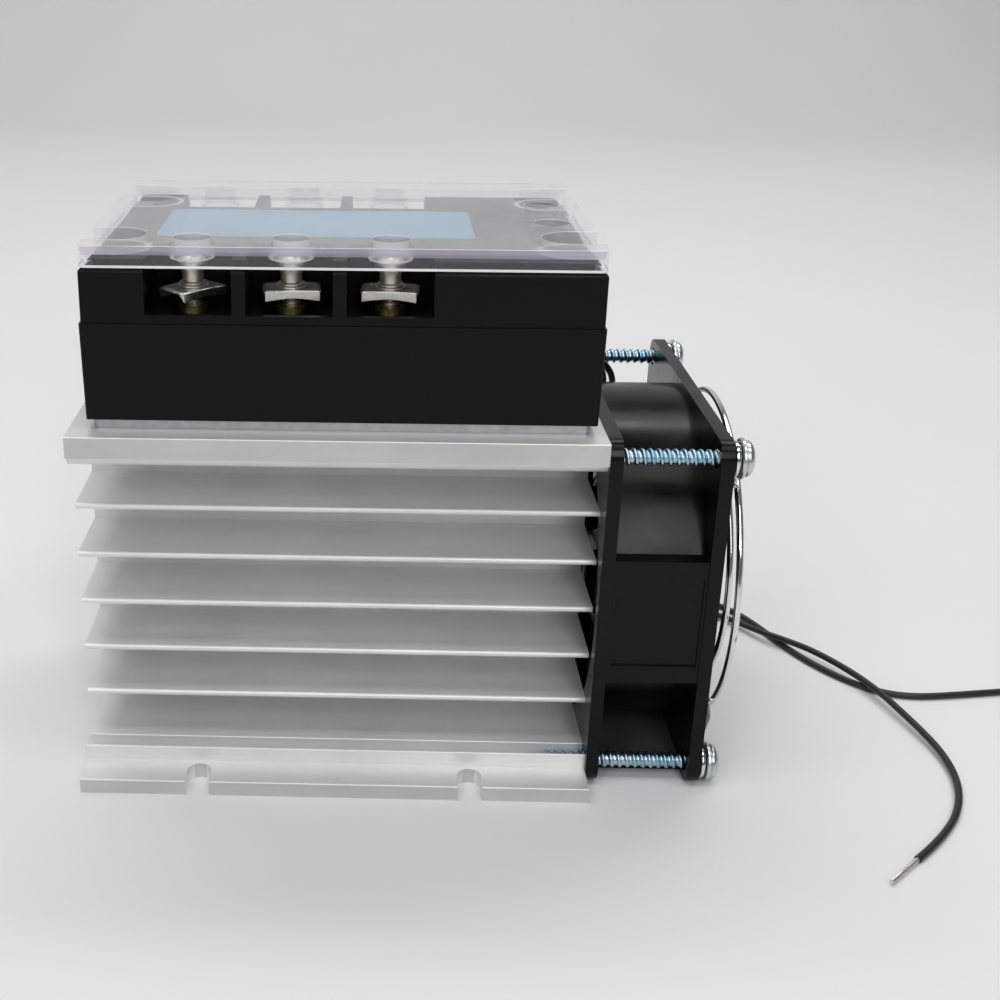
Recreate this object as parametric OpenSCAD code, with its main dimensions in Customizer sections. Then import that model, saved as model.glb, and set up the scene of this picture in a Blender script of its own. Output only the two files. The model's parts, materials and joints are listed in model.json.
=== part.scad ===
// Three-phase solid state relay on a finned heat sink, cooled by an axial fan.
// Origin: middle of the footprint, on the surface that the feet rest on. Sizes in millimetres.
// +X runs from the heat sink to the fan, +Y from the front terminals to the back ones, +Z up.

/* [Heat sink] */
// Length of the extrusion
sink_l = 110; // [106:1:140]
// Height from the feet to the top plate
sink_h = 80; // [80:0.5:84]
// Width of the top plate
plate_w = 80; // [80:0.5:84]
// Thickness of the top plate
plate_t = 4.8; // [4.8:0.1:5.5]
// Width over both feet
foot_w = 93; // [92:0.5:100]
// Thickness of the foot flanges
foot_t = 3.5; // [3:0.5:4.5]
// Distance between the tips of opposite fins
fin_span = 66.6; // [60:0.1:70]
// Vertical distance from fin to fin
fin_pitch = 11.14; // [9:0.01:11.4]
// Thickness of a fin at its tip
fin_tip_t = 1.3; // [1:0.1:2]
// Thickness of a fin at the wall
fin_root_t = 1.9; // [1.5:0.1:3]
// Distance over the outer faces of the two upright walls
web_w = 29; // [28:1:34]
// Thickness of each upright wall
web_t = 3; // [2:0.5:4]
// Width of the mounting notches in the feet
notch_w = 5.2; // [4:0.1:6]
// Depth of the mounting notches
notch_d = 7; // [5:0.5:8]
// Distance between the two notches of a foot
notch_pitch = 59; // [40:1:80]

/* [Relay housing] */
// Length of the housing
relay_l = 104; // [104:0.5:106]
// Width of the housing, front to back
relay_w = 74.5; // [74.5:0.5:78]
// Offset of the relay along the heat sink, from its middle
relay_shift = 0.9; // [-1:0.1:1]
// Offset of the relay towards the back, from the heat sink's middle
relay_y = 2; // [0:0.1:2.5]
// Thickness of the metal base plate
base_t = 2.2; // [2:0.1:3]
// Height of the lower housing
lower_h = 20.2; // [20.2:0.1:22]
// Height of the terminal frame up to its rim
frame_h = 11.2; // [11.2:0.1:12]
// Height of the label platform above the rim
island_h = 1.4; // [1:0.1:1.6]
// Height of the clear cover above the rim
cover_h = 4.4; // [4.2:0.1:5]
// Wall of the clear cover
cover_t = 1.4; // [1:0.1:1.5]

/* [Terminals] */
// Width of an output terminal bay
bay_w = 17.3; // [16:0.1:17.6]
// Distance from bay to bay
bay_pitch = 20; // [19.5:0.1:20.5]
// Depth of an output terminal bay
bay_d = 17.5; // [16:0.5:18]
// Distance of the output screws from the housing's face
terminal_inset = 9.6; // [9:0.1:10]
// Thread diameter of the output screws
out_screw_d = 3.9; // [3.5:0.1:4]
// Travel of the output screws and their clamps
out_travel = 2.9; // [2:0.1:2.9]
// Travel of the control screws and their clamps
control_travel = 2; // [1.5:0.1:2]

/* [Fan] */
// Side of the square fan frame
fan_w = 80; // [80:1:80]
// Thickness of the fan frame
fan_t = 25; // [25:1:32]
// Distance between the fan's screw holes
fan_hole_pitch = 71.5; // [71.5:0.1:71.5]
// Inner radius of the duct
duct_r = 37.2; // [37.2:0.1:37.8]
// Number of fan blades
blade_count = 7; // [5:1:9]
// Thread diameter of the long fan screws
fan_screw_d = 3.9; // [3.5:0.1:4]
// Wire diameter of the finger guard
guard_d = 1.5; // [1.2:0.1:1.6]

/* [Leads] */
// Diameter of a lead over its insulation
lead_d = 1.6; // [1.4:0.1:1.7]
// Diameter of a tinned wire end
tip_d = 1.1; // [0.8:0.1:1.3]

/* [Hidden] */

$fn = 48;

// Stack along X: heat sink, fan, then the guard, which stands out a little more than the screw heads
ring_z = 4.6;
head_out = 4.8;
total_l = sink_l + fan_t + ring_z + guard_d / 2;
sink_x0 = -total_l / 2;
sink_x1 = sink_x0 + sink_l;
fan_x1 = sink_x1 + fan_t;

// Heat sink section
fin_count = 5;
fin_top_drop = 17.3;
slab_top = 6.95;
slab_relief = 1.4;
inner_fin_l = 4.5;
lip_y = 38.4;
fan_z = 40.2;
screw_y = fan_hole_pitch / 2;
low_screw_z = fan_z - screw_y;
high_screw_z = fan_z + screw_y;
groove_r = fan_screw_d / 2 + 0.05;
screw_boss_r = 3.1;
thread_in_sink = 10.3;
bore_in_sink = 14;

// Relay stack
relay_x = sink_x0 + sink_l / 2 + relay_shift;
pad_t = 0.3;
base_z = sink_h;
lower_z = base_z + base_t;
frame_z = lower_z + lower_h;
rim_z = frame_z + frame_h;
island_z = rim_z + island_h;
cover_z = rim_z + cover_h;
base_inset = 1.35;
island_inset = 2.3;
cover_inset = 0.1;
corner_r = 1.5;
housing_r = 0.6;
rim_r = 1.2;
roof_t = 3;
cavity_l = 78;
cavity_w = 67;
pocket_l = 10;
pocket_w = 36;
well_x = 46;
well_y = 25;
well_r = 4.7;
well_floor_z = lower_z + 3.8;
mount_hole_r = 2.25;
bay_floor_z = frame_z + 0.6;
sill_z = bay_floor_z + 1.2;
sill_t = 1.5;

// Terminals
phase_x = [for (i = [0:2]) -30.4 + i * bay_pitch];
out_y = relay_w / 2 - terminal_inset;
post_top_z = bay_floor_z + 1.3;
post_r = 3;
post_bottom_z = frame_z - 8.8;
clamp_rest_z = post_top_z + 0.1;
clamp_t = 0.8;
clamp_l = 11.8;
clamp_w = 8;
clamp_lip = 1.2;
clamp_bow_r = 25;
clamp_turn = [45, 6, -4, 0, 0, 0];
control_x = 43.6;
control_y = 10;
control_bay_w = 12.5;
control_bay_d = 13;
board_z = lower_z + 11.8;
board_t = 1.6;

// Fan, in its own frame: z 0 on the heat sink's end face, z fan_t on the guard's side
flange_t = 2.8;
duct_wall = 1.2;
fan_corner_r = 4;
fan_hole_r = 2.15;
pad_w = 28.3;
pad_drop = 0.3;
pad_recess = 0.5;
floor_w = 66.6;
floor_t = 1.5;
base_r = 17;
strut_angle = 63.3;
strut_w = 4.4;
stator_r = 15;
hub_r = 19;
hub_wall = 1.4;
blade_r = 36.2;
rod_z = 3.3;
ring_radii = [12, 20.5, 29, 37];
washer_t = 1.2;
washer_r = 4.3;
screw_head_r = 3.9;
lead_exit_z = 3.9;

// Lead routes, from the fan's duct to the end of the insulation
route_a = [
  [43.7, 16.5, 75.1], [43.8, 17.3, 76.7], [44.2, 18, 78], [45.3, 19, 78.9], [46.9, 20.5, 78.8],
  [48.6, 22.8, 77], [50.3, 25.8, 74.1], [51.5, 29.8, 70.1], [52.2, 34.8, 65.1], [52.5, 39.2, 59],
  [52.5, 41.6, 52.2], [52.5, 42.6, 44.6], [52.4, 42.8, 36], [52.6, 42.9, 27], [53.4, 43.2, 18.4],
  [55.2, 44, 10.8], [58.4, 45.6, 5], [63.4, 47.8, 1.8], [69.8, 50, 0.8], [77, 51.4, 0.8],
  [83.8, 50.6, 0.8], [89.2, 47.4, 0.8], [93, 42.6, 0.8], [95.7, 37.4, 0.8], [98.1, 31.6, 0.8],
  [100.7, 25, 0.8], [103.9, 18.4, 0.8], [107.5, 12.6, 0.8], [111.8, 7.3, 0.8], [116.6, 3.2, 0.8],
  [121.4, 1, 0.8], [126.8, 0.3, 0.8], [133.2, 0.9, 0.8], [140.3, 2, 0.8], [147.5, 3.2, 0.8],
  [155.4, 4.6, 0.8], [163.4, 6.4, 0.8], [171.4, 8.8, 0.8]
];
route_b = [
  [43.7, 18.1, 74.3], [43.8, 18.9, 75.8], [44.2, 19.7, 76.9], [45.3, 21, 77.5], [46.9, 23.2, 76.8],
  [48.2, 26, 74.5], [49.2, 29.6, 71], [49.7, 33.2, 67], [49.9, 37, 62.4], [49.9, 40, 57.4],
  [49.8, 41.9, 50.5], [49.8, 42.7, 42.8], [49.8, 43, 34], [50.2, 43.1, 25], [51.2, 43.2, 16.4],
  [53.4, 43.4, 9.2], [57.2, 44, 4.4], [62.8, 45, 1.8], [69.6, 46.2, 1], [76.4, 46.4, 0.9],
  [82.2, 44.6, 1], [87.2, 41.2, 1.2], [91, 36.9, 1.5], [94, 32.4, 2], [96.9, 28.4, 2.5],
  [100.8, 24.6, 2.7], [105.7, 19.6, 2.7], [110.2, 12.9, 2.7], [114, 5.4, 2.7], [116.9, -2.4, 2.6],
  [119, -10.3, 2.4], [120.9, -18.1, 2.1], [122.3, -25.8, 1.7], [122.3, -33.8, 1.3], [120.5, -41.8, 1],
  [117, -49.2, 0.8], [112.5, -55.4, 0.8], [107.8, -60.6, 0.8], [103.6, -64.7, 0.8]
];
tip_l = 10.8;

// ---- shared shapes ----

// Rectangle with round corners, centred
module rounded_rect(l, w, r) {
  square([l - 2 * r, w], center = true);
  square([l, w - 2 * r], center = true);
  for (sx = [-1, 1], sy = [-1, 1])
    translate([sx * (l / 2 - r), sy * (w / 2 - r)]) circle(r);
}

// Upright block with round edges, standing on z
module block(l, w, r, z, h) {
  translate([0, 0, z]) linear_extrude(h) rounded_rect(l, w, r);
}

// Section of a body whose two upper edges are round
module arch(w, h, r) {
  translate([-w / 2, 0]) square([w, h - r]);
  translate([-w / 2 + r, 0]) square([w - 2 * r, h]);
  for (s = [-1, 1]) translate([s * (w / 2 - r), h - r]) circle(r);
}

// Block with round upper edges
module domed_block(l, w, z, h, r) {
  intersection() {
    block(l, w, housing_r, z, h);
    translate([-l, 0, z]) rotate([90, 0, 90]) linear_extrude(2 * l) arch(w, h, r);
    translate([0, w, z]) rotate([90, 0, 0]) linear_extrude(2 * w) arch(l, h, r);
  }
}

// Upright cylinder from z up to top
module post(r, z, top) {
  translate([0, 0, z]) cylinder(r = r, h = top - z);
}

// Puts children in the relay's own frame
module at_relay() {
  translate([relay_x, relay_y, 0]) children();
}

// The four places where the relay is screwed down
module at_wells() {
  for (sx = [-1, 1], sy = [-1, 1])
    translate([sx * well_x, sy * well_y, 0]) children();
}

// Puts children in the fan's frame, its z running along +X
module at_fan() {
  translate([sink_x1, 0, fan_z]) rotate([0, 90, 0]) children();
}

// The four screw positions of the fan, in the fan's frame
module at_fan_holes() {
  for (sx = [-1, 1], sy = [-1, 1])
    translate([sx * screw_y, sy * screw_y, 0]) children();
}

// Output terminals 1 to 3 stand along the front, 4 to 6 along the back
function out_pos(n) = [phase_x[(n - 1) % 3], n <= 3 ? -out_y : out_y, 0];
function out_raise(n) = n <= 3 ? out_travel : 0;
function control_pos(n) = [control_x, n == 1 ? -control_y : control_y, 0];

// Sweep of a round section along a list of points
function unit(v) = v / norm(v);
function tangent(p, i) = unit(p[min(i + 1, len(p) - 1)] - p[max(i - 1, 0)]);
function side_of(t) = unit(cross(t, abs(t[2]) > 0.9 ? [0, 1, 0] : [0, 0, 1]));
// Carries the first side vector along the path, so that the tube doesn't twist
function carried(p, i, s) = i == 0 ? s : let(t = tangent(p, i), q = carried(p, i - 1, s)) unit(q - (q * t) * t);

module tube(p, d, sides) {
  n = len(p);
  start = side_of(tangent(p, 0));
  points = [
    for (i = [0:n - 1])
      let(t = tangent(p, i), u = carried(p, i, start), v = cross(t, u))
        for (k = [0:sides - 1]) p[i] + d / 2 * (cos(360 * k / sides) * u + sin(360 * k / sides) * v)
  ];
  walls = [
    for (i = [0:n - 2], k = [0:sides - 1])
      let(a = i * sides + k, b = i * sides + (k + 1) % sides)
        each [[a, a + sides, b], [b, a + sides, b + sides]]
  ];
  first = [for (k = [0:sides - 1]) k];
  last = [for (k = [sides - 1:-1:0]) (n - 1) * sides + k];
  polyhedron(points = points, faces = concat(walls, [first], [last]));
}

// Bare tinned end that carries on from the end of a route
module wire_tip(p) {
  n = len(p) - 1;
  d = unit(p[n] - p[n - 1]);
  translate(p[n])
    rotate([0, acos(d[2]), atan2(d[1], d[0])])
      cylinder(d = tip_d, h = tip_l);
}

// ---- heat sink ----

// Runs a flat section, drawn in Y and Z, along the whole heat sink
module extruded() {
  translate([sink_x0, 0, 0]) rotate([90, 0, 90]) linear_extrude(sink_l) children();
}

// One fin on the +Y side with its short rib on the inner side of the wall
module fin(top) {
  y0 = web_w / 2 - 1;
  y1 = fin_span / 2 - fin_tip_t / 2;
  extruded() polygon([[y0, top], [y1, top], [y1, top - fin_tip_t], [y0, top - fin_root_t]]);
  extruded() translate([y1, top - fin_tip_t / 2]) circle(fin_tip_t / 2);
  extruded() translate([web_w / 2 - web_t - inner_fin_l, top - fin_tip_t]) square([inner_fin_l + 1, fin_tip_t]);
}

// Half of the extrusion, on the +Y side
module half_sink() {
  extruded()
    intersection() {
      translate([screw_y, high_screw_z]) circle(screw_boss_r);
      square([plate_w / 2, sink_h - 1]);
    }
  extruded() translate([web_w / 2 - web_t, 1.5]) square([web_t, sink_h - 3]);
  for (i = [0:fin_count - 1]) fin(sink_h - fin_top_drop - i * fin_pitch);
  extruded() translate([30, 0]) square([foot_w / 2 - 30, foot_t]);
}

// Notch that opens towards the outside of a foot
module foot_notch() {
  r = notch_w / 2;
  translate([0, foot_w / 2 - notch_d + r, -1]) cylinder(r = r, h = foot_t + 2);
  translate([-r, foot_w / 2 - notch_d + r, -1]) cube([notch_w, notch_d, foot_t + 2]);
}

module heat_sink() {
  color("silver")
    difference() {
      union() {
        extruded() translate([-plate_w / 2, sink_h - plate_t]) square([plate_w, plate_t]);
        extruded() translate([-lip_y, slab_relief]) square([2 * lip_y, slab_top - slab_relief]);
        half_sink();
        mirror([0, 1, 0]) half_sink();
      }
      for (s = [-1, 1]) {
        translate([sink_x0 - 1, s * screw_y, low_screw_z]) rotate([0, 90, 0]) cylinder(r = groove_r, h = sink_l + 2);
        translate([sink_x0 - 1, s * screw_y - groove_r, low_screw_z]) cube([sink_l + 2, 2 * groove_r, 5]);
        translate([sink_x1 - bore_in_sink, s * screw_y, high_screw_z])
          rotate([0, 90, 0]) cylinder(r = groove_r, h = bore_in_sink + 1);
      }
      for (sx = [-1, 1], side = [0, 1])
        translate([sink_x0 + sink_l / 2 + sx * notch_pitch / 2, 0, 0]) mirror([0, side, 0]) foot_notch();
      at_relay() at_wells() post(2.05, sink_h - plate_t - 1, sink_h + 1);
    }
}

// Heat-conducting sheet let into the underside of the base plate
module thermal_pad() {
  color("gainsboro")
    at_relay() block(84, 60, 1, base_z, pad_t);
}

// ---- relay ----

module base_plate() {
  color("tan")
    at_relay()
      difference() {
        block(relay_l - 2 * base_inset, relay_w - 2 * base_inset, 1, base_z, base_t);
        block(84, 60, 1, base_z - 1, pad_t + 1);
        at_wells() post(mount_hole_r, base_z - 1, lower_z + 1);
      }
}

module lower_housing() {
  color([0.08, 0.085, 0.08])
    at_relay() {
      difference() {
        block(relay_l, relay_w, housing_r, lower_z, lower_h);
        block(cavity_l, cavity_w, 2, lower_z - 1, lower_h - roof_t + 1);
        translate([cavity_l / 2 - 2, -pocket_w / 2, lower_z - 1])
          cube([pocket_l + 2, pocket_w, lower_h - roof_t + 1]);
        at_wells() {
          post(mount_hole_r, lower_z - 1, well_floor_z + 1);
          post(well_r, well_floor_z, frame_z + 1);
        }
        for (n = [1:6]) translate(out_pos(n)) post(post_r, frame_z - roof_t - 1, frame_z + 1);
        for (n = [1:2]) translate(control_pos(n)) post(2.5, frame_z - roof_t - 1, frame_z + 1);
      }
      for (sx = [-1, 1], sy = [-1, 1])
        translate([sx * 33, sy * 15, 0]) post(2.5, board_z + board_t, frame_z - roof_t + 0.5);
    }
}

// Space for one output terminal, open to the front (side -1) or the back (side 1) and above
module output_bay(x, side) {
  y_in = relay_w / 2 - bay_d;
  mirror([0, side < 0 ? 1 : 0, 0]) {
    translate([x - bay_w / 2, y_in, bay_floor_z]) cube([bay_w, bay_d - sill_t, 20]);
    translate([x - bay_w / 2, y_in + 1, sill_z]) cube([bay_w, bay_d, 20]);
  }
}

// Space for one control terminal, open to the right end and above
module control_bay(y) {
  x_in = relay_l / 2 - control_bay_d;
  translate([x_in, y - control_bay_w / 2, bay_floor_z]) cube([control_bay_d - sill_t, control_bay_w, 20]);
  translate([x_in + 1, y - control_bay_w / 2, sill_z]) cube([control_bay_d, control_bay_w, 20]);
}

module terminal_frame() {
  color([0.08, 0.085, 0.08])
    at_relay()
      difference() {
        union() {
          domed_block(relay_l, relay_w, frame_z, frame_h, rim_r);
          block(relay_l - 2 * island_inset, relay_w - 2 * island_inset, corner_r, rim_z - 1, island_h + 1);
        }
        block(cavity_l - 4, 34, 2, frame_z - 1, frame_h);
        for (x = phase_x, side = [-1, 1]) output_bay(x, side);
        for (s = [-1, 1]) control_bay(s * control_y);
        at_wells() post(well_r, frame_z - 1, island_z + 1);
        for (n = [1:6]) translate(out_pos(n)) post(post_r, frame_z - 1, bay_floor_z + 1);
        for (n = [1:2]) translate(control_pos(n)) post(2.5, frame_z - 1, bay_floor_z + 1);
        translate([30, 0, rim_z - 4]) cylinder(d = 3, h = 10);
      }
}

// Outline of a cover notch that opens to the end, grown by g
module notch_outline(g) {
  circle(6 + g);
  translate([0, -6 - g]) square([20, 12 + 2 * g]);
}

module clear_cover() {
  l = relay_l - 2 * cover_inset;
  w = relay_w - 2 * cover_inset;
  roof_z = cover_z - cover_t;
  collar_z = rim_z + 0.3;
  color([0.85, 0.85, 0.92, 0.35])
    at_relay()
      difference() {
        union() {
          difference() {
            block(l, w, corner_r, rim_z, cover_z - rim_z);
            block(l - 2 * cover_t, w - 2 * cover_t, 1, rim_z - 1, roof_z - rim_z + 1);
          }
          for (n = [1:6]) translate(out_pos(n)) post(4.6, collar_z, roof_z + 0.1);
          for (side = [0, 1], sy = [-1, 1])
            mirror([side, 0, 0])
              translate([well_x, sy * well_y, island_z + 0.2])
                linear_extrude(cover_z - island_z - 0.2)
                  intersection() {
                    notch_outline(1.2);
                    translate([-10, -10]) square([10 + l / 2 - well_x, 20]);
                  }
        }
        for (n = [1:6]) translate(out_pos(n)) post(3.7, rim_z - 1, cover_z + 1);
        for (n = [1:2]) translate(control_pos(n)) post(3.7, rim_z - 1, cover_z + 1);
        for (side = [0, 1], sy = [-1, 1])
          mirror([side, 0, 0])
            translate([well_x, sy * well_y, rim_z - 1]) linear_extrude(10) notch_outline(0);
      }
}

module label_sheet() {
  color([0.62, 0.79, 0.9])
    at_relay() translate([-6.2, 1, 0]) block(67.4, 29, 1, island_z, 0.2);
}

module indicator_lens() {
  color([0.5, 0.05, 0.05])
    at_relay() translate([30, 0, rim_z - 4]) cylinder(d = 3, h = island_h + 4.6);
}

module ceramic_substrates() {
  color("white")
    at_relay()
      for (x = phase_x) translate([x, 0, 0]) block(17, 62, 0.5, lower_z, 0.6);
}

module thyristor_chips() {
  color("dimgray")
    at_relay()
      for (x = phase_x, s = [-1, 1])
        translate([x - 4.5, s * 12 - 4.5, lower_z + 0.6]) cube([9, 9, 0.4]);
}

// Silicone filling over the chips, open around the busbar straps
module potting_block() {
  color([0.85, 0.85, 0.8])
    at_relay()
      difference() {
        block(cavity_l - 0.4, cavity_w - 0.4, 2, lower_z + 1.6, 4);
        for (n = [1:6]) translate(out_pos(n)) translate([-3, -3, lower_z]) cube([6, 6, 10]);
      }
}

module control_board() {
  color([0.1, 0.4, 0.2])
    at_relay() {
      translate([-37, -19, board_z]) cube([74, 38, board_t]);
      translate([36, -14, board_z]) cube([11.5, 28, board_t]);
    }
}

module optocouplers() {
  color([0.12, 0.12, 0.13])
    at_relay()
      for (x = phase_x) translate([x - 4.5, -3.5, board_z + board_t]) cube([9, 7, 3.2]);
}

// Threaded posts with a strap down to the substrate
module output_busbars() {
  strap_foot_z = lower_z + 0.6;
  color([0.55, 0.45, 0.2])
    at_relay()
      for (n = [1:6])
        translate(out_pos(n)) {
          difference() {
            post(post_r, post_bottom_z, post_top_z);
            post(out_screw_d / 2 + 0.05, post_bottom_z + 0.8, post_top_z + 1);
          }
          translate([-2, -0.4, strap_foot_z]) cube([4, 0.8, post_bottom_z + 0.2 - strap_foot_z]);
          translate([-2, -1.6, strap_foot_z]) cube([4, 3.2, 0.8]);
        }
}

module control_posts() {
  color([0.55, 0.45, 0.2])
    at_relay()
      for (n = [1:2])
        translate(control_pos(n))
          difference() {
            post(2.5, board_z + board_t, post_top_z);
            post(1.5, board_z + board_t + 0.6, post_top_z + 1);
          }
}

// Pan head with a cross recess, head up
module pan_head(r, h, z) {
  difference() {
    intersection() {
      post(r, z, z + h);
      translate([0, 0, z + h - 1.7 * r]) sphere(r = 1.7 * r);
    }
    for (a = [0, 90])
      rotate([0, 0, a]) translate([-0.6 * r, -0.13 * r, z + 0.45 * h]) cube([1.2 * r, 0.26 * r, h]);
  }
}

module relay_mounting_screws() {
  color("lightsteelblue")
    at_relay()
      at_wells() {
        pan_head(4, 2.8, well_floor_z);
        post(2, sink_h - plate_t, well_floor_z + 0.1);
      }
}

// Plate that holds a wire down, its two long edges turned down and arched
module clamp_plate(l, w, hole_r, z) {
  difference() {
    union() {
      translate([-l / 2, -w / 2, z]) cube([l, w, clamp_t]);
      for (s = [0, 1]) mirror([0, s, 0]) translate([-l / 2, w / 2 - clamp_t, z - clamp_lip]) cube([l, clamp_t, clamp_lip + 0.1]);
    }
    post(hole_r, z - 1, z + 2);
    translate([0, 0, z - clamp_lip + 0.55 - clamp_bow_r]) rotate([90, 0, 0]) cylinder(r = clamp_bow_r, h = w + 2, center = true);
  }
}

module output_clamp(n) {
  color([0.8, 0.79, 0.76])
    at_relay()
      translate(out_pos(n)) rotate([0, 0, clamp_turn[n - 1]])
        clamp_plate(clamp_l, clamp_w, out_screw_d / 2 + 0.1, clamp_rest_z + out_raise(n));
}

// Screw with a lock washer under which the clamp hangs
module terminal_screw(d, head_r, head_h, neck, under, z) {
  top = z + clamp_t + neck;
  pan_head(head_r, head_h, top);
  post(d / 2, z - under, top + 0.1);
  post(head_r - 0.1, z + clamp_t + 0.05, z + clamp_t + 0.85);
}

module output_screw(n) {
  color([0.78, 0.75, 0.7])
    at_relay()
      translate(out_pos(n))
        terminal_screw(out_screw_d, 3.2, 2.6, 3.9, 5.4, clamp_rest_z + out_raise(n));
}

module control_clamp(n) {
  color([0.8, 0.79, 0.76])
    at_relay()
      translate(control_pos(n)) clamp_plate(7.6, 7.2, 1.6, clamp_rest_z);
}

module control_screw(n) {
  color([0.78, 0.75, 0.7])
    at_relay()
      translate(control_pos(n)) terminal_screw(2.9, 2.7, 2, 2.6, 5.4, clamp_rest_z);
}

// ---- fan ----

module fan_frame() {
  pad_r = fan_w / 2;
  color([0.09, 0.09, 0.09])
    at_fan()
      difference() {
        union() {
          for (z = [0, fan_t - flange_t])
            translate([0, 0, z]) linear_extrude(flange_t) rounded_rect(fan_w, fan_w, fan_corner_r);
          cylinder(r = duct_r + duct_wall, h = fan_t, $fn = 96);
          for (a = [90, 270]) rotate([0, 0, a]) translate([0, -pad_w / 2, 0.5]) cube([pad_r - pad_drop, pad_w, fan_t - 1]);
          translate([pad_r - pad_drop - floor_t, -floor_w / 2, 0.5]) cube([floor_t, floor_w, fan_t - 1]);
        }
        difference() {
          translate([0, 0, -1]) cylinder(r = duct_r, h = fan_t + 2, $fn = 96);
          motor_mount();
        }
        for (a = [90, 270])
          rotate([0, 0, a])
            translate([pad_r - pad_drop - pad_recess, -10.2, 3.4]) cube([2, 20.4, 18.2]);
        at_fan_holes() translate([0, 0, -1]) cylinder(r = fan_hole_r, h = fan_t + 2);
        rotate([0, 0, 90 + strut_angle]) translate([duct_r - 2, -1.9, lead_exit_z - 0.9]) cube([6, 3.8, 1.8]);
      }
}

// Motor base, its socket and the four struts that carry it
module motor_mount() {
  difference() {
    union() {
      post(base_r, 0.8, 3);
      post(5.5, 0.8, 6);
      for (a = [0:90:270])
        rotate([0, 0, 90 + strut_angle + a]) translate([10, -strut_w / 2, 0.8]) cube([duct_r - 9, strut_w, 2.2]);
    }
    post(4, 3, 7);
    post(3, 2, 4);
  }
}

module motor_sticker() {
  color("whitesmoke")
    at_fan() post(14, 0.55, 0.8);
}

module motor_wiring_board() {
  color([0.1, 0.4, 0.2])
    at_fan()
      difference() {
        post(14, 3.65, 4.45);
        post(5.6, 3, 6);
      }
}

module bearing_tube() {
  color("goldenrod")
    at_fan()
      difference() {
        post(4, 3, 16.2);
        post(3, 2, 17);
      }
}

module fan_bearings() {
  color([0.7, 0.55, 0.35])
    at_fan()
      for (z = [4, 12])
        difference() {
          post(3, z, z + 4);
          post(1.55, z - 1, z + 5);
        }
}

module stator_core() {
  color("slategray")
    at_fan()
      difference() {
        post(stator_r, 6.4, 12.4);
        post(4, 6, 13);
        for (a = [45:90:315])
          rotate([0, 0, a]) translate([7, -2, 6]) cube([9, 4, 7]);
      }
}

module stator_windings() {
  color([0.72, 0.4, 0.2])
    at_fan()
      for (z = [4.5, 12.4])
        difference() {
          post(13, z, z + 1.9);
          post(6, z - 1, z + 3);
        }
}

module rotor_cup() {
  color("gray")
    at_fan()
      difference() {
        union() {
          difference() {
            post(hub_r - hub_wall, 5.4, 20);
            post(hub_r - hub_wall - 1.2, 4, 18.8);
          }
          post(4, 16.6, 19);
        }
        post(1.5, 16, 20.5);
      }
}

module rotor_ring() {
  color("lightgray")
    at_fan()
      difference() {
        post(hub_r - hub_wall - 1.2, 6, 13.5);
        post(stator_r + 0.4, 5, 14);
      }
}

module fan_shaft() {
  color("silver")
    at_fan() post(1.5, 2.4, 20);
}

module shaft_clip() {
  color("black")
    at_fan()
      difference() {
        post(2.6, 3, 3.4);
        post(1.5, 2, 4);
      }
}

module impeller() {
  blade_z0 = 6.4;
  blade_z1 = 20.6;
  color([0.1, 0.1, 0.1])
    at_fan() {
      difference() {
        post(hub_r, 5.3, 21.4);
        post(hub_r - hub_wall, 4, 20);
      }
      for (k = [0:blade_count - 1])
        intersection() {
          rotate([0, 0, k * 360 / blade_count])
            translate([0, 0, (blade_z0 + blade_z1) / 2])
              rotate([52, 0, 0]) translate([hub_r - 0.6, -11, -0.7]) cube([blade_r - hub_r + 4, 22, 1.4]);
          difference() {
            post(blade_r, blade_z0, blade_z1);
            post(hub_r - 0.5, blade_z0 - 1, blade_z1 + 1);
          }
        }
    }
}

// Welded wire guard on the fan's open side
module finger_guard() {
  r = guard_d / 2;
  hole_radius = screw_y * sqrt(2);
  loop_r = 2.3 + r;
  knee = 41.5;
  rise = rod_z - r;
  run = hole_radius - loop_r - knee;
  color("gainsboro")
    at_fan()
      translate([0, 0, fan_t]) {
        for (ring = ring_radii)
          translate([0, 0, ring_z]) rotate_extrude($fn = 72) translate([ring, 0]) circle(r, $fn = 16);
        for (a = [45:90:315])
          rotate([0, 0, a]) {
            translate([ring_radii[0] - 1, 0, rod_z]) rotate([0, 90, 0]) cylinder(r = r, h = knee - ring_radii[0] + 1, $fn = 16);
            translate([knee, 0, rod_z]) sphere(r = r + 0.06, $fn = 24);
            translate([knee, 0, rod_z]) rotate([0, 90 + atan(rise / run), 0])
              cylinder(r = r, h = norm([rise, run]), $fn = 16);
            translate([hole_radius, 0, r]) rotate_extrude($fn = 36) translate([loop_r, 0]) circle(r, $fn = 16);
          }
      }
}

// Long self-tapping screws with a washer head, through guard and fan into the heat sink
module fan_screws() {
  under_head = fan_t + guard_d;
  color([0.6, 0.72, 0.8])
    at_fan()
      at_fan_holes() {
        pan_head(screw_head_r, head_out - guard_d - washer_t, under_head + washer_t);
        post(washer_r, under_head, under_head + washer_t);
        post(fan_screw_d / 2, 2 - thread_in_sink, under_head + 0.1);
        translate([0, 0, -thread_in_sink]) cylinder(r1 = 0.8, r2 = fan_screw_d / 2, h = 2);
      }
}

// Inner part of the two leads, along a strut from the wiring board to the duct
module lead_run() {
  color([0.08, 0.08, 0.08])
    at_fan()
      rotate([0, 0, 90 + strut_angle])
        for (s = [-1, 1])
          translate([14.1, s * 0.9, lead_exit_z]) rotate([0, 90, 0]) cylinder(d = lead_d, h = duct_r + duct_wall + 0.1 - 14.1);
}

module fan_lead_a() {
  color([0.07, 0.07, 0.07]) tube(route_a, lead_d, 8);
}

module fan_lead_b() {
  color([0.07, 0.07, 0.07]) tube(route_b, lead_d, 8);
}

module lead_tip_a() {
  color("silver") wire_tip(route_a);
}

module lead_tip_b() {
  color("silver") wire_tip(route_b);
}

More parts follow.
